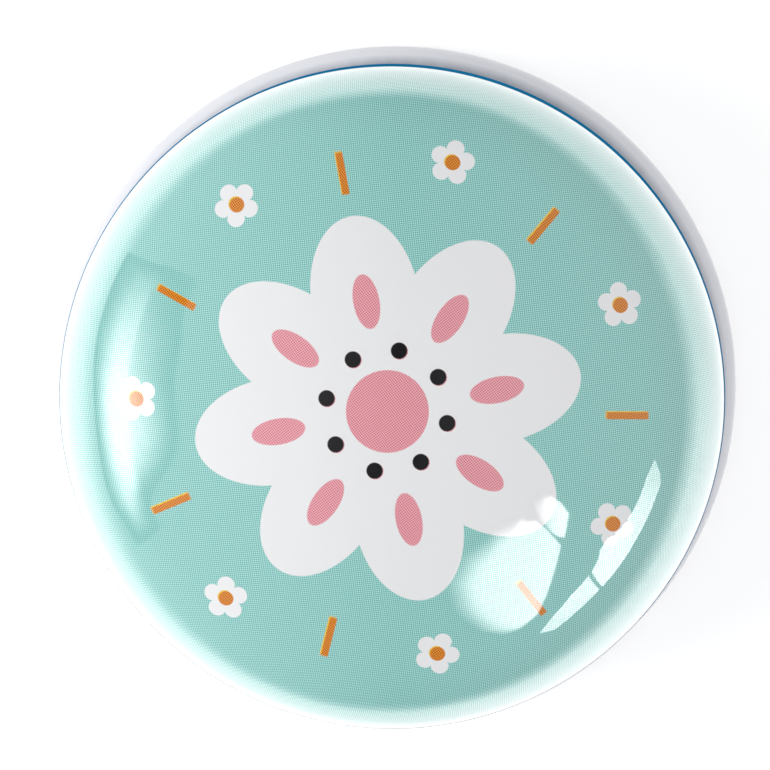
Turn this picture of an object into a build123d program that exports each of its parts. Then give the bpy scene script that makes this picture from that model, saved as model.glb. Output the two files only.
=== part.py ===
"""A small round keepsake tin for baby teeth, made of three pieces of tinplate.

A domed lid pushes over the straight wall of the base, and the bottom's rim is rolled round the foot of that wall.
The origin is at the middle of the foot. +Z is the tin's axis, and the lid lifts off along it. All sizes are in mm.
"""

import os
from math import asin, cos, degrees, radians, sin, sqrt

from build123d import *

os.makedirs("parts", exist_ok=True)

# Driving sizes
lid_diameter = 54.5
base_height = 15.3
sheet = 0.28

# Lid: a shallow crown, a rounder shoulder and a turn into the straight skirt
crown_radius = 59.5
shoulder_radius = 12.3
turn_radius = 7.4
turn_start_angle = 42
skirt_depth = 2.75

# The safe edge of the lid's skirt and of the base's mouth: the sheet is folded in and pressed nearly flat
fold_gap = 0.12
fold_height = 1.6
fold_flare = 0.4
fold_chamfer = 0.2

# Wall: a straight band that the lid slides over, with its foot hooked outwards
lid_clearance = 0.12
seat_gap = 0.12
hook_reach = 1.35
hook_height = 1.25
lap_width = 3.2
lap_end_gap = 0.1

# Bottom: a recessed panel whose rim is rolled tight round the wall's hook, as the bead that the tin stands on
seam_gap = 0.05
bead_reach = 2.0
bead_height = 2.4
recess_depth = 2.2
panel_rise = 0.5
panel_margin = 3.4
panel_slope = 0.8

# Radii that follow from the lid, from its skirt inwards
lid_radius = lid_diameter / 2
fold_thickness = 2 * sheet + fold_gap
wall_radius = lid_radius - fold_thickness - lid_clearance
wall_inside = wall_radius - sheet

# The three arcs of the dome are tangent, so the crown's half angle follows from the radii
turn_sine = sin(radians(turn_start_angle))
turn_centre_radius = lid_radius - turn_radius
shoulder_centre_radius = turn_centre_radius - (shoulder_radius - turn_radius) * turn_sine
crown_angle = degrees(asin(shoulder_centre_radius / (crown_radius - shoulder_radius)))

# The lid comes to rest where the inside of its turn meets the base's mouth, and this sets every height of the lid
seat_reach = turn_radius - sheet - seat_gap
seat_rise = sqrt(seat_reach**2 - (wall_radius - turn_centre_radius) ** 2)
turn_centre = Vector(turn_centre_radius, base_height - fold_chamfer - seat_rise)
shoulder_drop = (shoulder_radius - turn_radius) * cos(radians(turn_start_angle))
shoulder_centre = Vector(shoulder_centre_radius, turn_centre.Y - shoulder_drop)
crown_drop = (crown_radius - shoulder_radius) * cos(radians(crown_angle))
crown_centre = Vector(0, shoulder_centre.Y - crown_drop)
edge_height = turn_centre.Y - skirt_depth


def folded_edge(outer, edge, way):
    """List the points of a folded edge, from the outer face round to the inner one; way is 1 for an edge below."""
    inner = outer - fold_thickness
    return (
        (outer, edge + way * fold_chamfer),
        (outer - fold_chamfer, edge),
        (inner + fold_chamfer, edge),
        (inner, edge + way * fold_chamfer),
        (inner, edge + way * (fold_height - fold_flare)),
        (outer - sheet, edge + way * fold_height),
    )


def dome_arcs(inset):
    """Draw the dome's crown, shoulder and turn at this depth under its outer face."""
    crown_end = 90 - crown_angle
    turn_start = 90 - turn_start_angle
    crown = CenterArc(crown_centre, crown_radius - inset, 90, -crown_angle)
    CenterArc(shoulder_centre, shoulder_radius - inset, crown_end, turn_start - crown_end)
    turn = CenterArc(turn_centre, turn_radius - inset, turn_start, -turn_start)
    return crown @ 0, turn @ 1


# Lid: one drawn sheet, closed at the axis and folded back on itself at the skirt's edge
with BuildPart() as lid:
    with BuildSketch(Plane.XZ):
        with BuildLine():
            apex, skirt_top = dome_arcs(0)
            inner_apex, inner_skirt_top = dome_arcs(sheet)
            Line(inner_apex, apex)
            Polyline(skirt_top, *folded_edge(lid_radius, edge_height, 1), inner_skirt_top)
        make_face()
    revolve(axis=Axis.Z)
lid.part.label = "lid"

# Wall: its hook lies in the bottom's bead, on the sheet that the tin stands on
hook_radius = wall_radius + hook_reach
flange_bottom = sheet + seam_gap
flange_top = flange_bottom + sheet
hook_top = flange_bottom + hook_height
panel_top = recess_depth + sheet
with BuildPart() as base_wall:
    with BuildSketch(Plane.XZ):
        with BuildLine():
            Polyline(
                *folded_edge(wall_radius, base_height, -1),
                (wall_inside, flange_bottom),
                (hook_radius, flange_bottom),
                (hook_radius, hook_top),
                (hook_radius - sheet, hook_top),
                (hook_radius - sheet, flange_top),
                (wall_radius, flange_top),
                close=True,
            )
        make_face()
    revolve(axis=Axis.Z)
    # The strip's end lies over its start, inside the tin, from the bottom's panel to the folded mouth
    with BuildSketch(Plane.XZ):
        with BuildLine():
            lap_bottom = panel_top + lap_end_gap
            lap_top = base_height - fold_height
            Polyline(
                (wall_inside - sheet, lap_bottom),
                (wall_inside, lap_bottom),
                (wall_inside, lap_top),
                (wall_inside - sheet, lap_top),
                close=True,
            )
        make_face()
    revolve(axis=Axis.Z, revolution_arc=degrees(lap_width / wall_inside))
base_wall.part.label = "base_wall"

# Bottom: the panel, the short wall inside the tin's wall, the flat foot and the bead round the hook
chuck_radius = wall_inside - seam_gap
bead_round = bead_height / 2
bead_radius = wall_radius + bead_reach
panel_radius = chuck_radius - panel_margin
with BuildPart() as base_bottom:
    with BuildSketch(Plane.XZ):
        with BuildLine():
            bead = CenterArc((bead_radius - bead_round, bead_round), bead_round, -90, 180)
            slot_top = hook_top + seam_gap
            Polyline(
                bead @ 1,
                (wall_radius + seam_gap, bead_height),
                (wall_radius + seam_gap, flange_top + seam_gap),
                (hook_radius - sheet - seam_gap, flange_top + seam_gap),
                (hook_radius - sheet - seam_gap, slot_top),
                (hook_radius + seam_gap, slot_top),
                (hook_radius + seam_gap, sheet),
                (chuck_radius, sheet),
                (chuck_radius, panel_top),
                (panel_radius + panel_slope, panel_top),
                (panel_radius, panel_top + panel_rise),
                (0, panel_top + panel_rise),
                (0, recess_depth + panel_rise),
                (panel_radius, recess_depth + panel_rise),
                (panel_radius + panel_slope, recess_depth),
                (chuck_radius - sheet, recess_depth),
                (chuck_radius - sheet, 0),
                bead @ 0,
            )
        make_face()
    revolve(axis=Axis.Z)
base_bottom.part.label = "base_bottom"

for piece in (lid, base_wall, base_bottom):
    export_step(piece.part, f"parts/{piece.part.label}.step")

print(f"lid edge at {edge_height:.2f}, top at {crown_centre.Y + crown_radius:.2f}, crown half angle {crown_angle:.2f}")
print(f"wall radius {wall_radius:.2f}, bead radius {bead_radius:.2f}")
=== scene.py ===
# %% [markdown]
# # A small round keepsake tin
#
# This lesson dresses a tin for baby teeth. The CAD model gives its three sheets of tinplate: a domed lid, a
# straight wall, and a bottom whose rim is rolled round the foot of the wall. The origin is at the middle of
# the foot, +Z is up, and lengths here are in millimetres until they reach Blender, which works in metres.

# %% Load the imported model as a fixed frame
from math import asin, atan2, cos, degrees, hypot, pi, radians, sin, sqrt

import bmesh
import bpy
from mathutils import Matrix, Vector


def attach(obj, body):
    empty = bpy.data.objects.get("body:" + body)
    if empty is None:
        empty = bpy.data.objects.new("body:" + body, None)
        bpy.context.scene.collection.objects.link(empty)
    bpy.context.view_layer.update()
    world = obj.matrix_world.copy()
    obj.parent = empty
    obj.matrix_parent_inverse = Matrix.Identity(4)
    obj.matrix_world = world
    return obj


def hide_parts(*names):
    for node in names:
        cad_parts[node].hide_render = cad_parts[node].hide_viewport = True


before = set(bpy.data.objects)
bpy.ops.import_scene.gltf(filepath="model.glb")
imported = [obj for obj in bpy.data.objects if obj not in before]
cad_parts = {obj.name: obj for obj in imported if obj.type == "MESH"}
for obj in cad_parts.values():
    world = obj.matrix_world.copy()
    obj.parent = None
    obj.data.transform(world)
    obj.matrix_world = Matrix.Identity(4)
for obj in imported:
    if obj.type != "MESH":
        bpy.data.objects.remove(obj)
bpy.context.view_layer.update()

MM = 0.001

# %% [markdown]
# ## The camera
#
# The photograph looks almost straight down on the lid with a long lens. The lid's edge is seen as a circle
# that is a little off the ring of the foot, which gives the tilt: 5.45 degrees from the axis, up and a
# little to the right. The lens follows from the lid's size in the picture, and a small shift puts the lid
# where the photograph has it.

# %% Set the camera
lid_edge_height = 10.02
camera_distance = 450
camera_tilt = radians(5.45)
camera_bearing = radians(69)
camera_lens = 255.5
sensor_width = 36
picture_width = 770
shift_right, shift_down = 7.9, 10.0

lean = sin(camera_tilt)
away = Vector((lean * cos(camera_bearing), lean * sin(camera_bearing), cos(camera_tilt)))
picture_right = Vector((0, 1, 0)).cross(away).normalized()
picture_up = away.cross(picture_right)
eye = Vector((0, 0, lid_edge_height)) + away * camera_distance

bpy.ops.object.select_all(action="DESELECT")
bpy.ops.object.camera_add(location=eye * MM)
camera = bpy.context.object
camera.name = "camera"
camera.matrix_world.col[0].xyz = picture_right
camera.matrix_world.col[1].xyz = picture_up
camera.matrix_world.col[2].xyz = away
camera.data.sensor_width = sensor_width
camera.data.lens = camera_lens
camera.data.shift_x = -shift_right / picture_width
camera.data.shift_y = shift_down / picture_width
camera.data.clip_start = 0.01
camera.data.clip_end = 20
bpy.context.scene.camera = camera
print("camera at", [round(value, 4) for value in camera.matrix_world.translation])

# %% [markdown]
# ## Drawing a bent sheet
#
# Each piece is one round sheet of tinplate, so its section is drawn once, along the middle of the sheet,
# and spun round the axis. A single vertex works as a pencil with the tools of edit mode: extruding it draws
# a straight run, and spinning it draws an arc that is truly tangent to the run before.

# %% A pencil for sections
sheet = 0.28
half = sheet / 2


def start_section(name, radius, height):
    """Put a single selected vertex at this radius and height, in edit mode."""
    bpy.ops.object.select_all(action="DESELECT")
    bpy.ops.mesh.primitive_plane_add(size=MM, location=(0, 0, 0))
    piece = bpy.context.object
    piece.name = piece.data.name = name
    bpy.ops.object.mode_set(mode="EDIT")
    bpy.ops.mesh.select_mode(type="VERT")
    bpy.ops.mesh.merge(type="CENTER")
    bpy.ops.transform.translate(value=(radius * MM, 0, height * MM))
    return piece


def pencil(piece):
    """Say where the section's last vertex is, in mm."""
    tip = next(vertex for vertex in bmesh.from_edit_mesh(piece.data).verts if vertex.select)
    return tip.co.x / MM, tip.co.z / MM


def run_to(piece, radius, height, steps=1):
    """Draw a straight run from the last vertex to this point."""
    old_radius, old_height = pencil(piece)
    step = ((radius - old_radius) * MM / steps, 0, (height - old_height) * MM / steps)
    for _ in range(steps):
        bpy.ops.mesh.extrude_region_move(TRANSFORM_OT_translate={"value": step})


def arc_round(radius, height, angle, steps):
    """Draw an arc about this centre, clockwise as seen with the radius to the right and the height up."""
    centre = (radius * MM, 0, height * MM)
    bpy.ops.mesh.spin(steps=steps, angle=radians(angle), center=centre, axis=(0, -1, 0))


print("sheet of", sheet, "mm")

# %% [markdown]
# ## From a section to a sheet
#
# The section is spun a full turn, and its seam and its pole are merged, so the surface closes. Its normals
# are made to agree while it is still a single layer. Solidify then gives the sheet its thickness, with the
# bare side in the material slot after the printed one, so every fold and roll keeps the same thickness as
# the real metal.

# %% Spin and thicken
turns = 256
merge_distance = 0.002
crisp_edge = radians(35)


def spin_round(piece, outward):
    """Spin the section round the axis, merge its seam and pole, and turn its faces to the coated side."""
    bpy.ops.mesh.select_all(action="SELECT")
    bpy.ops.mesh.spin(steps=turns, angle=2 * pi, center=(0, 0, 0), axis=(0, 0, 1))
    bpy.ops.mesh.select_all(action="SELECT")
    bpy.ops.mesh.remove_doubles(threshold=merge_distance * MM)
    bpy.ops.mesh.normals_make_consistent(inside=False)
    shape = bmesh.from_edit_mesh(piece.data)
    witness = max(shape.faces, key=lambda face: face.calc_center_median().dot(outward))
    if witness.normal.dot(outward) < 0:
        bpy.ops.mesh.flip_normals()
    bpy.ops.object.mode_set(mode="OBJECT")


def thicken(piece):
    """Give the sheet its thickness, with the next material on its other side, and smooth its shading."""
    solid = piece.modifiers.new("sheet thickness", "SOLIDIFY")
    solid.thickness = sheet * MM
    solid.offset = 0
    solid.use_even_offset = True
    solid.material_offset = 1
    solid.material_offset_rim = 1
    bpy.ops.object.modifier_apply(modifier=solid.name)
    bpy.ops.object.shade_smooth_by_angle(angle=crisp_edge)


def measure(piece):
    """Print a piece's size in mm."""
    heights = [vertex.co.z / MM for vertex in piece.data.vertices]
    widest = max(hypot(vertex.co.x, vertex.co.y) for vertex in piece.data.vertices) / MM
    print(piece.name, "has", len(piece.data.polygons), "faces and a radius of", round(widest, 3), "mm")
    print(piece.name, "goes from", round(min(heights), 3), "to", round(max(heights), 3), "mm high")


print("each section is spun in", turns, "steps")

# %% [markdown]
# ## Small tools for finishes
#
# The finishes are drawn with shader nodes. These helpers add a node or two each, so that a pattern reads
# like a sum.

# %% Helpers for shader nodes


def calc(tree, operation, *values, clamp=False):
    """Add one Math node; each value is a number or the output of another node."""
    node = tree.nodes.new("ShaderNodeMath")
    node.operation = operation
    node.use_clamp = clamp
    for socket, value in zip(node.inputs, values):
        if isinstance(value, bpy.types.NodeSocket):
            tree.links.new(value, socket)
        else:
            socket.default_value = value
    return node.outputs[0]


def between(tree, pattern, low, high):
    """Give a value that goes from low to high as a pattern goes from 0 to 1."""
    return calc(tree, "MULTIPLY_ADD", pattern, high - low, low)


def inside(tree, distance, edge, softness):
    """Give 1 where a distance is less than an edge and 0 beyond it, with a soft step between."""
    depth = calc(tree, "DIVIDE", calc(tree, "SUBTRACT", edge, distance), softness)
    return calc(tree, "ADD", depth, 0.5, clamp=True)


def span(tree, along, across):
    """Give the length of a step with these two parts."""
    squares = [calc(tree, "MULTIPLY", part, part) for part in (along, across)]
    return calc(tree, "SQRT", calc(tree, "ADD", *squares))


def blend(tree, mask, under, over):
    """Lay one colour over another where the mask is 1."""
    node = tree.nodes.new("ShaderNodeMix")
    node.data_type = "RGBA"
    for socket, value in ((node.inputs["Factor"], mask), (node.inputs[6], under), (node.inputs[7], over)):
        if isinstance(value, bpy.types.NodeSocket):
            tree.links.new(value, socket)
        elif isinstance(value, (int, float)):
            socket.default_value = value
        else:
            socket.default_value = (*value, 1)
    return node.outputs[2]


def cloud(tree, size, detail=2.0):
    """Give a noise in the object's own space, with patches of this size in mm along x, y and z."""
    place = tree.nodes.new("ShaderNodeMapping")
    tree.links.new(tree.nodes.new("ShaderNodeTexCoord").outputs["Object"], place.inputs["Vector"])
    place.inputs["Scale"].default_value = [1 / (length * MM) for length in size]
    noise = tree.nodes.new("ShaderNodeTexNoise")
    noise.inputs["Scale"].default_value = 1
    noise.inputs["Detail"].default_value = detail
    tree.links.new(place.outputs["Vector"], noise.inputs["Vector"])
    return noise.outputs["Fac"]


def uneven(tree, height, depth, shader, socket):
    """Roughen a surface by this height pattern, to this depth in mm."""
    bump = tree.nodes.new("ShaderNodeBump")
    bump.inputs["Strength"].default_value = 1
    bump.inputs["Distance"].default_value = depth * MM
    tree.links.new(height, bump.inputs["Height"])
    tree.links.new(bump.outputs["Normal"], shader.inputs[socket])


def new_finish(name):
    """Add a material and return it with its node tree and its main shader."""
    finish = bpy.data.materials.new(name)
    finish.use_nodes = True
    return finish, finish.node_tree, finish.node_tree.nodes["Principled BSDF"]


print("helpers for finishes are ready")

# %% [markdown]
# ## Bare tinplate
#
# Inside, the sheet keeps its plain tin coat: a soft grey metal with the long fine lines of the rolling
# mill. A noise that is stretched far along one axis gives such lines, both in the tint and in how blurred
# the metal mirrors.

# %% Bare tinplate
mill_line_length, mill_line_width, mill_line_depth = 9, 0.12, 0.002
dull_tin, bright_tin = (0.50, 0.505, 0.51), (0.72, 0.725, 0.73)

bare_tin, tree, shader = new_finish("bare_tinplate")
mill_lines = cloud(tree, (mill_line_length, mill_line_width, mill_line_width), detail=3)
shader.inputs["Metallic"].default_value = 1
tree.links.new(blend(tree, mill_lines, dull_tin, bright_tin), shader.inputs["Base Color"])
tree.links.new(between(tree, mill_lines, 0.2, 0.42), shader.inputs["Roughness"])
uneven(tree, mill_lines, mill_line_depth, shader, "Normal")
print("made", bare_tin.name)

# %% [markdown]
# ## White enamel
#
# The base is stoved white enamel. It is even, but never perfectly flat: it settles in faint ripples about a
# millimetre wide, and its white is a touch cool. On the wall the end of the rolled strip shows as a fine
# upright line. In the corner between the wall and the bead round its foot, under the lid's edge, a painted
# shade greys the white, a little uneven with the ripples.

# %% White enamel
ripple_size, ripple_depth = 1.1, 0.003
tone_size = 6
lower_white, higher_white = (0.85, 0.858, 0.905), (0.875, 0.883, 0.93)
# Painted shade: the grey laid in the corner above the bead, under the lid's edge, and its reach in mm.
painted_shade_grey = (0.24, 0.27, 0.31)
painted_shade_radius, painted_shade_radius_fade = 27.45, 0.7
painted_shade_bottom, painted_shade_top, painted_shade_top_fade = 1.2, 2.8, 0.9
faintest_painted_shade, deepest_painted_shade = 0.45, 0.75
seam_half_width, seam_fade = 0.07, 0.06


def painted_shade(tree, ripples, east, north, up):
    """Mask the painted shade in the corner above the bead, a little uneven with the ripples."""
    near_wall = inside(tree, span(tree, east, north), painted_shade_radius * MM, painted_shade_radius_fade * MM)
    near_bead = inside(tree, up, painted_shade_top * MM, painted_shade_top_fade * MM)
    off_floor = calc(tree, "GREATER_THAN", up, painted_shade_bottom * MM)
    corner = calc(tree, "MULTIPLY", calc(tree, "MULTIPLY", near_wall, near_bead), off_floor)
    return calc(tree, "MULTIPLY", corner, between(tree, ripples, faintest_painted_shade, deepest_painted_shade))


def enamel(name, seam_depth):
    """Make a white enamel, with an upright seam on its +X side where the depth in mm isn't 0."""
    finish, tree, shader = new_finish(name)
    ripples = cloud(tree, (ripple_size, ripple_size, ripple_size))
    place = tree.nodes.new("ShaderNodeSeparateXYZ")
    tree.links.new(tree.nodes.new("ShaderNodeTexCoord").outputs["Object"], place.inputs[0])
    east, north, up = place.outputs
    white = blend(tree, cloud(tree, (tone_size, tone_size, tone_size)), lower_white, higher_white)
    # Lay the painted shade over the white in the corner above the bead, where the lid's edge shades it.
    white = blend(tree, painted_shade(tree, ripples, east, north, up), white, painted_shade_grey)
    tree.links.new(white, shader.inputs["Base Color"])
    tree.links.new(between(tree, ripples, 0.36, 0.46), shader.inputs["Roughness"])
    shader.inputs["Specular IOR Level"].default_value = 0.08
    height = calc(tree, "MULTIPLY", ripples, ripple_depth)
    if seam_depth:
        groove = inside(tree, calc(tree, "ABSOLUTE", north), seam_half_width * MM, seam_fade * MM)
        groove = calc(tree, "MULTIPLY", groove, calc(tree, "GREATER_THAN", east, 0))
        height = calc(tree, "MULTIPLY_ADD", groove, -seam_depth, height)
    uneven(tree, height, 1, shader, "Normal")
    return finish


white_enamel = enamel("white_enamel", 0)
wall_enamel = enamel("wall_enamel", 0.05)
print("made", white_enamel.name, "and", wall_enamel.name)

# %% [markdown]
# ## The lid
#
# The lid is pressed from one disc. Its top is three tangent arcs: a wide crown, a rounder shoulder and a
# tight turn into the short straight skirt. The skirt's raw edge is folded back inside, so that fingers only
# meet a round hem.

# %% Draw the lid
lid_radius = 27.25
lid_top = 24.43
crown_radius, shoulder_radius, turn_radius = 59.5, 12.3, 7.4
crown_steps, shoulder_steps, turn_steps = 40, 18, 28
turn_start = 42
skirt_steps = 5
fold_gap = 0.12
fold_height = 1.6
fold_middle = (sheet + fold_gap) / 2
hem_steps, fold_steps = 12, 2

turn_centre_radius = lid_radius - turn_radius
shoulder_centre_radius = turn_centre_radius - (shoulder_radius - turn_radius) * sin(radians(turn_start))
crown_angle = degrees(asin(shoulder_centre_radius / (crown_radius - shoulder_radius)))
crown_centre_height = lid_top - crown_radius
shoulder_centre_height = crown_centre_height + (crown_radius - shoulder_radius) * cos(radians(crown_angle))
turn_centre_height = shoulder_centre_height + (shoulder_radius - turn_radius) * cos(radians(turn_start))

lid_shell = start_section("lid_shell", 0, lid_top - half)
arc_round(0, crown_centre_height, crown_angle, crown_steps)
arc_round(shoulder_centre_radius, shoulder_centre_height, turn_start - crown_angle, shoulder_steps)
arc_round(turn_centre_radius, turn_centre_height, 90 - turn_start, turn_steps)
hem_turn_height = lid_edge_height + half + fold_middle
run_to(lid_shell, lid_radius - half, hem_turn_height, skirt_steps)
arc_round(lid_radius - half - fold_middle, hem_turn_height, 180, hem_steps)
run_to(lid_shell, pencil(lid_shell)[0], lid_edge_height + fold_height, fold_steps)
print("the dome's arcs meet at", round(crown_angle, 2), "and", turn_start, "degrees from the axis")

# %% [markdown]
# ## The flat blank
#
# A tin is printed flat and drawn afterwards. So that the print stretches as it does in the press, each
# vertex keeps how far it was from the middle of a flat disc with the same area inside it, and then its
# place on that disc.

# %% Keep each vertex's place on the flat disc


def note_blank_radius(piece):
    """Walk along the section and keep the radius that each vertex had when the sheet was a flat disc."""
    section = bmesh.from_edit_mesh(piece.data)
    blank = section.verts.layers.float.new("blank_radius")
    tip = min(section.verts, key=lambda vertex: vertex.co.x)
    swept, done = 0, set()
    while True:
        ahead = [edge.other_vert(tip) for edge in tip.link_edges if edge not in done]
        if not ahead:
            break
        done.update(tip.link_edges)
        swept += (tip.co.x + ahead[0].co.x) * (tip.co - ahead[0].co).length / MM**2
        tip = ahead[0]
        tip[blank] = sqrt(swept)
    bmesh.update_edit_mesh(piece.data)
    return sqrt(swept)


def note_print_place(piece):
    """Keep each vertex's place on the flat disc, in mm, for the print to read."""
    spread = [entry.value for entry in piece.data.attributes["blank_radius"].data]
    places = piece.data.attributes.new("print_place", "FLOAT_VECTOR", "POINT").data
    for number, vertex in enumerate(piece.data.vertices):
        bearing = atan2(vertex.co.y, vertex.co.x)
        places[number].vector = (spread[number] * cos(bearing), spread[number] * sin(bearing), 0)


blank_radius = note_blank_radius(lid_shell)
spin_round(lid_shell, Vector((0, 0, 1)))
note_print_place(lid_shell)
print("the lid was a disc of", round(blank_radius, 2), "mm radius")

# %% [markdown]
# ## Ink and varnish
#
# Light tints on a printed tin are halftones: rows of tiny dots of a full colour on a pale one. The rows
# here are 0.169 mm apart and turned a little, as on the photographed lid. Each ink has its own plate, and
# the plates never meet exactly, so the red and yellow plates are set about a twentieth of a millimetre off
# each way. The mint pales towards white over the lid's turn, a painted highlight that stands in for part
# of the sheen the turn takes from the bright surround. A clear gloss varnish covers it all.

# %% Set up the print's plates
printed, tree, shader = new_finish("printed_mint_tin")
attribute = tree.nodes.new("ShaderNodeAttribute")
attribute.attribute_name = "print_place"
split = tree.nodes.new("ShaderNodeSeparateXYZ")
tree.links.new(attribute.outputs["Vector"], split.inputs[0])
print_x, print_y = split.outputs[:2]


def plate(right, up):
    """Give a plate's reach from the middle and its bearing, for a plate that is set off by this much."""
    x = calc(tree, "SUBTRACT", print_x, right)
    y = calc(tree, "SUBTRACT", print_y, up)
    return span(tree, x, y), calc(tree, "ARCTAN2", y, x)


key_plate = plate(0, 0)
red_plate = plate(0.05, -0.045)
yellow_plate = plate(-0.04, 0.045)
print("three plates for", printed.name)

# %% Halftone inks
screen_pitch = 0.169
screen_turn, warm_screen_turn = radians(6.7), radians(36.7)
dot_softness = 0.9
mint_pale, mint_deep = (0.47, 0.775, 0.735), (0.12, 0.44, 0.41)
coral_pale, coral_deep = (0.90, 0.50, 0.54), (0.66, 0.15, 0.22)
orange_pale, orange_deep = (0.86, 0.36, 0.03), (0.46, 0.07, 0.01)
yellow = (0.86, 0.56, 0.05)
paper_white = (0.86, 0.865, 0.88)
ink_black = (0.006, 0.006, 0.008)
# Where and how far the mint pales towards white over the turn: a painted highlight.
mint_fade_radius, mint_fade_width = 27.9, 4.4
weakest_mint = 0.35


def rows(turn):
    """Give a wave that is 1 on rows across this direction, one screen pitch apart, and -1 between them."""
    place = calc(tree, "MULTIPLY_ADD", print_y, sin(turn), calc(tree, "MULTIPLY", print_x, cos(turn)))
    return calc(tree, "COSINE", calc(tree, "MULTIPLY", place, 2 * pi / screen_pitch))


def between_dots(turn):
    """Mask the ground between the dots, which lie where two sets of rows cross, turned by this angle."""
    crossed = calc(tree, "ADD", rows(turn), rows(turn + pi / 2))
    return inside(tree, calc(tree, "MULTIPLY", crossed, 0.5), 0, dot_softness)


mint = blend(tree, between_dots(screen_turn), mint_deep, mint_pale)
# Painted highlight: the mint pales towards white over the lid's turn.
mint_strength = between(tree, inside(tree, key_plate[0], mint_fade_radius, mint_fade_width), weakest_mint, 1)
mint = blend(tree, mint_strength, paper_white, mint)
warm_ground = between_dots(warm_screen_turn)
coral = blend(tree, warm_ground, coral_deep, coral_pale)
orange = blend(tree, warm_ground, orange_deep, orange_pale)
print("halftone rows", screen_pitch, "mm apart, turned", round(degrees(screen_turn), 1), "degrees")

# %% [markdown]
# ## The design
#
# A large white daisy with a coral middle lies on the mint ground, with small blossoms and orange dashes
# round it. Everything repeats round the middle, so each plate is folded into equal sectors and one motif is
# drawn in them.

# %% Shapes of the motifs
lobe_sharpness = 0.6


def sector(plate_place, count, turn):
    """Fold a plate into equal sectors and give the place in one, along its middle and across it."""
    reach, bearing = plate_place
    folded = calc(tree, "WRAP", calc(tree, "SUBTRACT", bearing, turn), pi / count, -pi / count)
    along = calc(tree, "MULTIPLY", reach, calc(tree, "COSINE", folded))
    across = calc(tree, "MULTIPLY", reach, calc(tree, "SINE", folded))
    return along, across


def oval(place, middle, length, width, softness):
    """Mask an oval whose middle is this far out; length and width are its half sizes."""
    far = calc(tree, "DIVIDE", calc(tree, "SUBTRACT", place[0], middle), length)
    return inside(tree, span(tree, far, calc(tree, "DIVIDE", place[1], width)), 1, softness)


def dash(place, middle, length, width, softness):
    """Mask a short bar with square ends; length and width are its half sizes."""
    far = calc(tree, "DIVIDE", calc(tree, "ABSOLUTE", calc(tree, "SUBTRACT", place[0], middle)), length)
    wide = calc(tree, "DIVIDE", calc(tree, "ABSOLUTE", place[1]), width)
    return inside(tree, calc(tree, "MAXIMUM", far, wide), 1, softness)


def blossom(place, middle, lobes, inner, outer, softness):
    """Mask a small flower whose middle is this far out and whose edge swings between two radii."""
    far = calc(tree, "SUBTRACT", place[0], middle)
    turn = calc(tree, "MULTIPLY", calc(tree, "ARCTAN2", place[1], far), lobes / 2)
    wave = calc(tree, "POWER", calc(tree, "ABSOLUTE", calc(tree, "COSINE", turn)), lobe_sharpness)
    return inside(tree, span(tree, far, place[1]), between(tree, wave, inner, outer), softness)


print("motifs: oval, dash and blossom")

# %% Sizes of the motifs
petals, blossoms = 8, 7
daisy_turn, ring_turn = radians(11), radians(24)
petal_reach, petal_length, petal_width = 9.2, 6.6, 4.3
heart_radius = 5.0
streak_reach, streak_length, streak_width = 8.9, 2.2, 1.05
middle_radius = 3.3
stamen_reach, stamen_size = 4.9, 0.66
blossom_reach, blossom_lobes, blossom_inner, blossom_outer = 20.6, 5, 1.1, 1.85
pollen_size = 0.62
dash_reach, dash_length, dash_width = 19.4, 1.75, 0.29
sharp, crisp, soft = 0.012, 0.05, 0.1
print(petals, "petals and", blossoms, "blossoms")

# %% Print the lid
petal = sector(key_plate, petals, daisy_turn)
petal_red = sector(red_plate, petals, daisy_turn)
stamen = sector(key_plate, petals, daisy_turn + pi / petals)
stamen_red = sector(red_plate, petals, daisy_turn + pi / petals)
bloom = sector(key_plate, blossoms, ring_turn)
bloom_red = sector(red_plate, blossoms, ring_turn)
bloom_yellow = sector(yellow_plate, blossoms, ring_turn)
gap_red = sector(red_plate, blossoms, ring_turn + pi / blossoms)
gap_yellow = sector(yellow_plate, blossoms, ring_turn + pi / blossoms)

colour = mint
for mask, ink in (
    (oval(petal, petal_reach, petal_length, petal_width, sharp), paper_white),
    (inside(tree, key_plate[0], heart_radius, crisp), paper_white),
    (oval(petal_red, streak_reach, streak_length, streak_width, crisp), coral),
    (inside(tree, red_plate[0], middle_radius, crisp), coral),
    (oval(stamen_red, stamen_reach, stamen_size, stamen_size, soft), coral),
    (oval(stamen, stamen_reach, stamen_size, stamen_size, soft), ink_black),
    (blossom(bloom, blossom_reach, blossom_lobes, blossom_inner, blossom_outer, crisp), paper_white),
    (oval(bloom_yellow, blossom_reach, pollen_size, pollen_size, soft), yellow),
    (oval(bloom_red, blossom_reach, pollen_size, pollen_size, soft), orange),
    (dash(gap_yellow, dash_reach, dash_length, dash_width, soft), yellow),
    (dash(gap_red, dash_reach, dash_length, dash_width, soft), orange),
):
    colour = blend(tree, mask, colour, ink)
tree.links.new(colour, shader.inputs["Base Color"])
shader.inputs["Roughness"].default_value = 0.45
shader.inputs["Specular IOR Level"].default_value = 0
shader.inputs["Coat Weight"].default_value = 1
shader.inputs["Coat Roughness"].default_value = 0.03
varnish_wave_size, varnish_wave_depth = 3, 0.002
varnish_waves = cloud(tree, (varnish_wave_size, varnish_wave_size, varnish_wave_size), detail=1)
uneven(tree, varnish_waves, varnish_wave_depth, shader, "Coat Normal")
print("printed", printed.name, "with", len(tree.nodes), "nodes")

# %% [markdown]
# ## The skirt's blue
#
# The skirt is blue, and so is the foot of the dome's turn. From above this shows as the thin dark line at
# the lid's edge. The blue is matt, without varnish, so it mirrors nothing bright at that grazing view. A
# soft cloud in its tint and a fine bump keep it from being flat.

# %% Colour the skirt and thicken the lid
blue_height = 4.0
deeper_blue, lighter_blue = (0.008, 0.175, 0.385), (0.016, 0.25, 0.51)
cloud_width, cloud_height = 5, 1.2
fleck_size, fleck_depth = 0.5, 0.006

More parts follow.
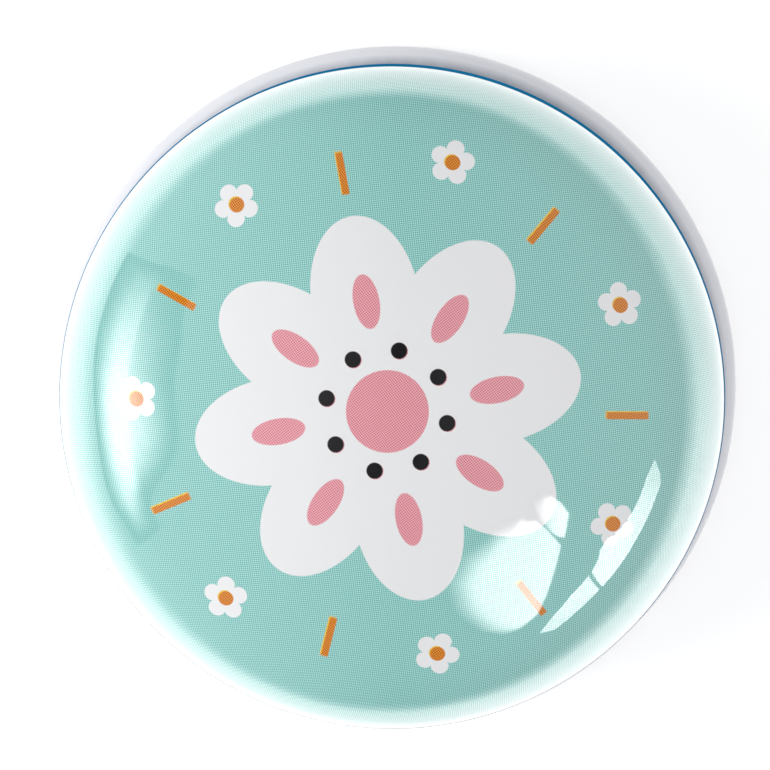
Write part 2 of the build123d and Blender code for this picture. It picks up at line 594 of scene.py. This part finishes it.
skirt_blue, tree, shader = new_finish("skirt_blue")
flecks = cloud(tree, (fleck_size, fleck_size, fleck_size))
clouds = cloud(tree, (cloud_width, cloud_width, cloud_height), detail=4)
tree.links.new(blend(tree, clouds, deeper_blue, lighter_blue), shader.inputs["Base Color"])
tree.links.new(between(tree, flecks, 0.4, 0.55), shader.inputs["Roughness"])
shader.inputs["Specular IOR Level"].default_value = 0
uneven(tree, flecks, fleck_depth, shader, "Normal")

for finish in (printed, bare_tin, skirt_blue, bare_tin):
    lid_shell.data.materials.append(finish)
for face in lid_shell.data.polygons:
    if face.center.z < (lid_edge_height + blue_height) * MM:
        face.material_index = 2
thicken(lid_shell)
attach(lid_shell, "lid")
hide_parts("lid")
measure(lid_shell)

# %% [markdown]
# ## The wall
#
# The wall is a strip rolled into a ring. Its mouth is folded inwards like the lid's hem. Its foot is bent
# outwards and up into a hook, which the bottom's rim holds. The strip's end lies over its start inside the
# tin.

# %% Draw and spin the wall
base_height = 15.3
lid_clearance = 0.12
seam_gap = 0.05
hook_reach, hook_height, hook_bend = 1.35, 1.25, 0.3
recess_depth = 2.2
lap_width, lap_end_gap = 3.2, 0.1
lap_steps, short_run_steps, hook_steps = 10, 2, 6

wall_radius = lid_radius - 2 * sheet - fold_gap - lid_clearance
hook_radius = wall_radius + hook_reach
hook_top = sheet + seam_gap + hook_height
flange_middle = sheet + seam_gap + half
lap_bottom = recess_depth + sheet + lap_end_gap
lap_top = base_height - fold_height

wall_band = start_section("wall_band", wall_radius - half - 2 * fold_middle, base_height - fold_height)
mouth_turn_height = base_height - half - fold_middle
run_to(wall_band, pencil(wall_band)[0], mouth_turn_height, fold_steps)
arc_round(wall_radius - half - fold_middle, mouth_turn_height, 180, hem_steps)
run_to(wall_band, wall_radius - half, lap_top)
run_to(wall_band, wall_radius - half, lap_bottom, lap_steps)
run_to(wall_band, wall_radius - half, flange_middle + hook_bend, short_run_steps)
arc_round(wall_radius - half + hook_bend, flange_middle + hook_bend, -90, hook_steps)
run_to(wall_band, hook_radius - half - hook_bend, flange_middle)
arc_round(hook_radius - half - hook_bend, flange_middle + hook_bend, -90, hook_steps)
run_to(wall_band, hook_radius - half, hook_top)
spin_round(wall_band, Vector((0, 0, 1)))
for finish in (wall_enamel, bare_tin):
    wall_band.data.materials.append(finish)
thicken(wall_band)
measure(wall_band)

# %% [markdown]
# The lap is a second layer of the same sheet, so the faces under it are picked by their place on the inner
# side and extruded along their normals by one thickness.

# %% Lay the strip's end over its start
lap_angle = degrees(lap_width / (wall_radius - sheet))


def under_lap(face):
    """Tell whether a face is under the strip's end, on the wall's inner side and not on its folded mouth."""
    middle = face.calc_center_median()
    turned = degrees(atan2(middle.y, middle.x))
    faces_in = face.normal.xy.dot(middle.xy) < 0
    on_wall = hypot(middle.x, middle.y) > (wall_radius - 1.5 * sheet) * MM
    return faces_in and on_wall and 0 < turned < lap_angle and lap_bottom * MM < middle.z < lap_top * MM


bpy.ops.object.mode_set(mode="EDIT")
bpy.ops.mesh.select_mode(type="FACE")
bpy.ops.mesh.select_all(action="DESELECT")
shape = bmesh.from_edit_mesh(wall_band.data)
for face in shape.faces:
    if under_lap(face):
        face.select_set(True)
covered = sum(face.select for face in shape.faces)
bmesh.update_edit_mesh(wall_band.data)
bpy.ops.mesh.extrude_region_shrink_fatten(TRANSFORM_OT_shrink_fatten={"value": sheet * MM})
bpy.ops.object.mode_set(mode="OBJECT")
bpy.ops.object.shade_smooth_by_angle(angle=crisp_edge)
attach(wall_band, "base")
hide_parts("base_wall")
lap_heights = (lap_bottom * MM, lap_top * MM)
reaches = [v.co.xy.length for v in wall_band.data.vertices if lap_heights[0] < v.co.z < lap_heights[1]]
print("the lap covers", covered, "faces and comes in to", round(min(reaches) / MM, 3), "mm")

# %% [markdown]
# ## The bottom
#
# The bottom has a panel with a raised middle, set up inside the wall. Its rim goes down, out under the
# wall's hook, over it in a round bead and down into the hook. The bead is the pale ring that shows round
# the lid from above.

# %% Draw and spin the bottom
panel_margin, panel_rise, panel_slope, panel_bend = 3.4, 0.5, 0.8, 0.5
foot_bend = 0.45
bead_reach, bead_round = 2.0, 1.2
tuck_gap, tuck_bend, tuck_bottom = 0.07, 0.34, 0.95
panel_steps, bead_steps, bend_steps = 12, 28, 8

chuck_radius = wall_radius - sheet - seam_gap
panel_radius = chuck_radius - panel_margin
panel_height = recess_depth + half
bead_centre_radius = wall_radius + bead_reach - bead_round
bead_top = 2 * bead_round - half
tuck_radius = wall_radius + tuck_gap + half

bottom_plate = start_section("bottom_plate", 0, panel_height + panel_rise)
run_to(bottom_plate, panel_radius, panel_height + panel_rise, panel_steps)
run_to(bottom_plate, panel_radius + panel_slope, panel_height, short_run_steps)
run_to(bottom_plate, chuck_radius - half - panel_bend, panel_height, short_run_steps)
arc_round(chuck_radius - half - panel_bend, panel_height - panel_bend, 90, bend_steps)
run_to(bottom_plate, chuck_radius - half, half + foot_bend, short_run_steps)
arc_round(chuck_radius - half + foot_bend, half + foot_bend, -90, bend_steps)
run_to(bottom_plate, bead_centre_radius, half, short_run_steps)
arc_round(bead_centre_radius, bead_round, -180, bead_steps)
run_to(bottom_plate, tuck_radius + tuck_bend, bead_top)
arc_round(tuck_radius + tuck_bend, bead_top - tuck_bend, -90, bend_steps)
run_to(bottom_plate, tuck_radius, tuck_bottom)
spin_round(bottom_plate, Vector((0, 0, -1)))
for finish in (white_enamel, bare_tin):
    bottom_plate.data.materials.append(finish)
thicken(bottom_plate)
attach(bottom_plate, "base")
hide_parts("base_bottom")
measure(bottom_plate)

# %% [markdown]
# ## The studio
#
# The tin stands on a plain white floor. A floor that is truly white in the picture would light the tin from
# below far too much, so its extra glow is for the camera alone, and the gloss mirrors the room instead of
# the floor.

# %% Floor
floor_radius = 1.5
floor_grey = 0.75
floor_glow = 0.48

bpy.ops.object.select_all(action="DESELECT")
bpy.ops.mesh.primitive_circle_add(vertices=96, radius=floor_radius, fill_type="NGON", location=(0, 0, 0))
floor = bpy.context.object
floor.name = "floor"
floor_finish, tree, shader = new_finish("pale_floor")
shader.inputs["Base Color"].default_value = (floor_grey, floor_grey, floor_grey, 1)
shader.inputs["Roughness"].default_value = 0.9
shader.inputs["Specular IOR Level"].default_value = 0
shader.inputs["Emission Color"].default_value = (1, 1, 1, 1)
path = tree.nodes.new("ShaderNodeLightPath").outputs
tree.links.new(calc(tree, "MULTIPLY", path["Is Camera Ray"], floor_glow), shader.inputs["Emission Strength"])
floor.data.materials.append(floor_finish)
floor.visible_glossy = False
print("floor", round(floor.dimensions.x, 2), "m across")

# %% [markdown]
# ## Soft lights
#
# The varnish mirrors a hazy softbox at the left, which fades out far towards the top, and at the lower
# right a tall light behind a cross bar: its upper panes give the broad panel and its lower panes the thin
# crescent. Each light is a glowing sheet that fades towards its edges, hung where the dome mirrors it to
# the right spot.

# %% A soft light
light_distance = 600
light_aim = Vector((0, 0, 20))


def compass(azimuth, elevation):
    """Give the direction with this azimuth, from +X towards +Y, and this elevation, in degrees."""
    level = cos(radians(elevation))
    return Vector((level * cos(radians(azimuth)), level * sin(radians(azimuth)), sin(radians(elevation))))


def light_finish(name, radiance):
    """Make a glow that follows the sheet's own attribute, from nothing at its outer edge to full inside."""
    finish, tree, shader = new_finish(name)
    tree.nodes.remove(shader)
    emission = tree.nodes.new("ShaderNodeEmission")
    strength = tree.nodes.new("ShaderNodeAttribute")
    strength.attribute_name = "glow"
    eased = tree.nodes.new("ShaderNodeMapRange")
    eased.interpolation_type = "SMOOTHSTEP"
    eased.inputs["To Max"].default_value = radiance
    tree.links.new(strength.outputs["Fac"], eased.inputs["Value"])
    tree.links.new(eased.outputs["Result"], emission.inputs["Strength"])
    tree.links.new(emission.outputs[0], tree.nodes["Material Output"].inputs["Surface"])
    return finish


def hang_light(name, radiance, mirrored, corners, faces):
    """Hang a glowing sheet; each corner is an azimuth, an elevation and its glow from 0 to 1."""
    pane = bpy.data.meshes.new(name)
    places = [(light_aim + compass(*corner[:2]) * light_distance) * MM for corner in corners]
    pane.from_pydata(places, [], faces)
    levels = pane.attributes.new("glow", "FLOAT", "POINT")
    for number, corner in enumerate(corners):
        levels.data[number].value = corner[2]
    pane.materials.append(light_finish(name, radiance))
    light = bpy.data.objects.new(name, pane)
    bpy.context.collection.objects.link(light)
    light.visible_camera = False
    light.visible_shadow = False
    light.visible_glossy = mirrored
    light.visible_diffuse = not mirrored
    print(name, "has", len(corners), "corners")


print("lights hang", light_distance, "mm off")

# %% [markdown]
# The left softbox is a row of upright stations. Each has an azimuth, four elevations and a glow: the light
# starts at the first elevation, is full from the second to the third, and ends at the fourth. It is hung
# twice: once to be mirrored, and once, fainter, to light the enamel and the ink.

# %% Hang the left softbox
left_stations = (
    (155, 8, 28, 40, 51, 0), (159, 8, 28, 40, 51, 0.22), (163.5, 8, 28, 40, 51, 0.34),
    (168, 8, 28, 40, 51.5, 0.44), (172, 8, 28, 40, 52, 0.54), (177, 9, 29, 39, 51.5, 0.66),
    (182, 11, 30.5, 38, 51, 0.88), (187, 12, 31, 37.5, 51, 1), (193, 12, 31, 37.5, 51, 1),
    (197, 11, 30, 37, 50, 0.85), (201, 10, 28, 36, 48, 0.63), (205, 11, 25, 28.5, 43, 0.47),
    (209, 14, 24, 28, 40, 0.24), (213, 14, 24, 28, 40, 0),
)


def soft_strip(name, radiance, mirrored, stations):
    """Hang a strip with a row of four corners at each station."""
    corners = []
    for azimuth, start, full, fall, end, glow in stations:
        corners += [(azimuth, start, 0), (azimuth, full, glow), (azimuth, fall, glow), (azimuth, end, 0)]
    faces = [(n, n + 1, n + 5, n + 4) for n in range(len(corners) - 4) if n % 4 != 3]
    hang_light(name, radiance, mirrored, corners, faces)


soft_strip("left_light", 18.5, True, left_stations)
soft_strip("left_fill", 9, False, left_stations)

# %% [markdown]
# The right light is drawn where it shows in the picture. A line of sight is followed through each of its
# corners to the dome, and from there, as from a mirror, out to the distance of the lights. The height of
# the dome where the line meets it is found by trying again with the height just found.

# %% Follow a line of sight off the dome
sight_tries = 10
dome_arcs = (
    (0, crown_centre_height, crown_radius, crown_angle),
    (shoulder_centre_radius, shoulder_centre_height, shoulder_radius, turn_start),
    (turn_centre_radius, turn_centre_height, turn_radius, 90),
)


def dome_at(reach):
    """Give the dome's height in mm and its slope in radians, this far from the axis."""
    for middle, level, bend, last_slope in dome_arcs:
        if reach < middle + bend * sin(radians(last_slope)):
            break
    slope = asin((reach - middle) / bend)
    return level + bend * cos(slope), slope


def mirrored_at(column, row):
    """Give the azimuth and elevation, in degrees, of what the dome mirrors at this pixel of the picture."""
    sideways = picture_right * (column - picture_width / 2 - shift_right)
    upwards = picture_up * (picture_width / 2 + shift_down - row)
    sight = sideways + upwards - away * (camera_lens / sensor_width * picture_width)
    height = lid_top
    for _ in range(sight_tries):
        spot = eye + sight * ((height - eye.z) / sight.z)
        height, slope = dome_at(spot.xy.length)
    outwards = spot.xy.normalized() * sin(slope)
    bounce = sight.reflect(Vector((outwards.x, outwards.y, cos(slope)))).normalized()
    start = spot - light_aim
    ahead = start.dot(bounce)
    place = start + bounce * (sqrt(ahead**2 + light_distance**2 - start.length_squared) - ahead)
    return degrees(atan2(place.y, place.x)), degrees(asin(place.z / light_distance))


middle_sight = mirrored_at(picture_width / 2, picture_width / 2)
print("in the middle the dome mirrors", [round(angle, 1) for angle in middle_sight], "degrees")

# %% [markdown]
# Each corner of a pane has a column and a row of the picture, the width in degrees of the fade outside it,
# and its glow.

# %% Hang the right light


def soft_pane(name, radiance, outline):
    """Hang a pane to be mirrored, with a fading edge round it."""
    corners = [(*mirrored_at(column, row), fade, glow) for column, row, fade, glow in outline]
    middle = [sum(corner[number] for corner in corners) / len(corners) for number in (0, 1)]
    inner, outer = [], []
    for azimuth, elevation, fade, glow in corners:
        squeeze = cos(radians(elevation))
        outward = Vector(((azimuth - middle[0]) * squeeze, elevation - middle[1])).normalized() * fade
        inner.append((azimuth, elevation, glow))
        outer.append((azimuth + outward.x / squeeze, elevation + outward.y, 0))
    count = len(corners)
    edge_faces = [(n, (n + 1) % count, count + (n + 1) % count, count + n) for n in range(count)]
    hang_light(name, radiance, True, inner + outer, [tuple(range(count)), *edge_faces])


panel_outline = (
    (544, 528, 0.4, 1), (560, 546, 0.4, 1), (554.5, 568.5, 0.4, 1), (546, 594, 0.4, 1), (537, 614.5, 0.6, 1),
    (521, 626, 1.2, 0.9), (506.5, 625, 2.5, 0.8), (492.5, 616, 4, 0.8), (481.5, 600.5, 5.5, 0.8),
    (477, 585, 6, 0.8), (486, 567, 5.5, 0.8), (503, 546.5, 4, 0.8), (522, 526, 2, 0.8),
    (535.5, 522.5, 0.7, 0.8),
)
panel_corner_outline = (
    (542.5, 509, 3, 0.45), (545.5, 501.5, 1.8, 0.5), (551.5, 499, 1, 0.8), (560, 503.5, 0.5, 1),
    (567.5, 514, 0.5, 1), (565.5, 527.5, 0.5, 1), (564, 536.5, 0.4, 1), (555, 533.5, 0.4, 0.8),
    (548, 526, 0.6, 0.5), (543, 518, 1.5, 0.4),
)
crescent_outline = (
    (654.5, 459.5, 0.4, 0.55), (660, 473, 0.4, 0.55), (660.5, 484, 0.4, 0.6), (652, 507.5, 0.3, 0.7),
    (639, 534, 0.3, 0.85), (620.5, 564.5, 0.3, 1), (602.5, 586.5, 0.2, 1), (592, 571.5, 0.2, 1),
    (601.5, 550.5, 0.3, 1), (609, 539, 0.3, 1), (626, 522.5, 0.3, 0.85), (637.5, 502.5, 0.3, 0.7),
    (647, 476.5, 0.4, 0.6),
)
crescent_tip_outline = (
    (599, 590, 0.2, 0.9), (579, 609.5, 0.3, 0.75), (555, 629.5, 0.3, 0.7), (540, 633, 0.4, 0.7),
    (554, 615.5, 0.4, 0.9), (571, 595.5, 0.3, 1), (588.5, 576, 0.2, 1),
)
soft_pane("right_light_high_wide", 15, panel_outline)
soft_pane("right_light_high_narrow", 18, panel_corner_outline)
soft_pane("right_light_low_wide", 17, crescent_outline)
soft_pane("right_light_low_narrow", 15, crescent_tip_outline)

# %% [markdown]
# ## The room
#
# The room gives a soft fill, a little stronger from above. What the varnish mirrors of it is a bright white
# surround below the horizon, brightest at the lower right and reaching higher at the sides than in front,
# and a much darker ceiling with some haze to the left and right. The surround whitens the dome's edge.

# %% Light the room
brim, brim_east, brim_north, brim_sides, brim_fade = 0.05, 0.035, 0.06, 0.09, 0.28
foot_drop, foot_fade = 0.93, 0.06
surround_glow, surround_rise = 4.6, 2.65
corner_share, corner_start, corner_glow = 0.7, 0.6, 4
haze_glow, haze_sides = 0.2, 1.8
fill_glow, fill_rise = 0.56, 0.22

world = bpy.data.worlds.new("studio")
bpy.context.scene.world = world
world.use_nodes = True
tree = world.node_tree
gaze = tree.nodes.new("ShaderNodeSeparateXYZ")
tree.links.new(tree.nodes.new("ShaderNodeTexCoord").outputs["Generated"], gaze.inputs[0])
east, north, up = gaze.outputs

sides = calc(tree, "SUBTRACT", calc(tree, "MULTIPLY", east, east), calc(tree, "MULTIPLY", north, north))
edge = calc(tree, "MULTIPLY_ADD", sides, brim_sides, calc(tree, "MULTIPLY_ADD", north, brim_north, brim))
surround = inside(tree, up, calc(tree, "MULTIPLY_ADD", east, brim_east, edge), brim_fade)
past_the_foot = inside(tree, calc(tree, "MULTIPLY", up, -1), foot_drop, foot_fade)
south_east = calc(tree, "MULTIPLY_ADD", calc(tree, "SUBTRACT", east, north), corner_share, -corner_start)
whiteness = calc(tree, "MULTIPLY_ADD", up, surround_rise, surround_glow)
whiteness = calc(tree, "MULTIPLY_ADD", calc(tree, "MAXIMUM", south_east, 0), corner_glow, whiteness)
white_wall = calc(tree, "MULTIPLY", whiteness, past_the_foot)
haze_height = calc(tree, "MULTIPLY", calc(tree, "MINIMUM", calc(tree, "ADD", up, 1), 1), haze_sides)
haze = calc(tree, "MULTIPLY_ADD", calc(tree, "ABSOLUTE", east), haze_height, haze_glow)
room = calc(tree, "MULTIPLY_ADD", surround, white_wall, haze)
print("room of", len(tree.nodes), "nodes")

# %% [markdown]
# The camera sees plain white, mirrors see the room, and everything else is lit by the fill. The standard
# view shows the colours as they are, without a film's curve.

# %% Share out the room's light
path = tree.nodes.new("ShaderNodeLightPath").outputs
mirrored = calc(tree, "MULTIPLY", path["Is Glossy Ray"], room)
fill = calc(tree, "MULTIPLY", path["Is Diffuse Ray"], calc(tree, "MULTIPLY_ADD", up, fill_rise, fill_glow))
strength = calc(tree, "ADD", path["Is Camera Ray"], calc(tree, "ADD", mirrored, fill))
tree.links.new(strength, tree.nodes["Background"].inputs["Strength"])
tree.nodes["Background"].inputs["Color"].default_value = (1, 1, 1, 1)
bpy.context.scene.view_settings.view_transform = "Standard"
print("fill from below", round(fill_glow - fill_rise, 2), "and from above", round(fill_glow + fill_rise, 2))
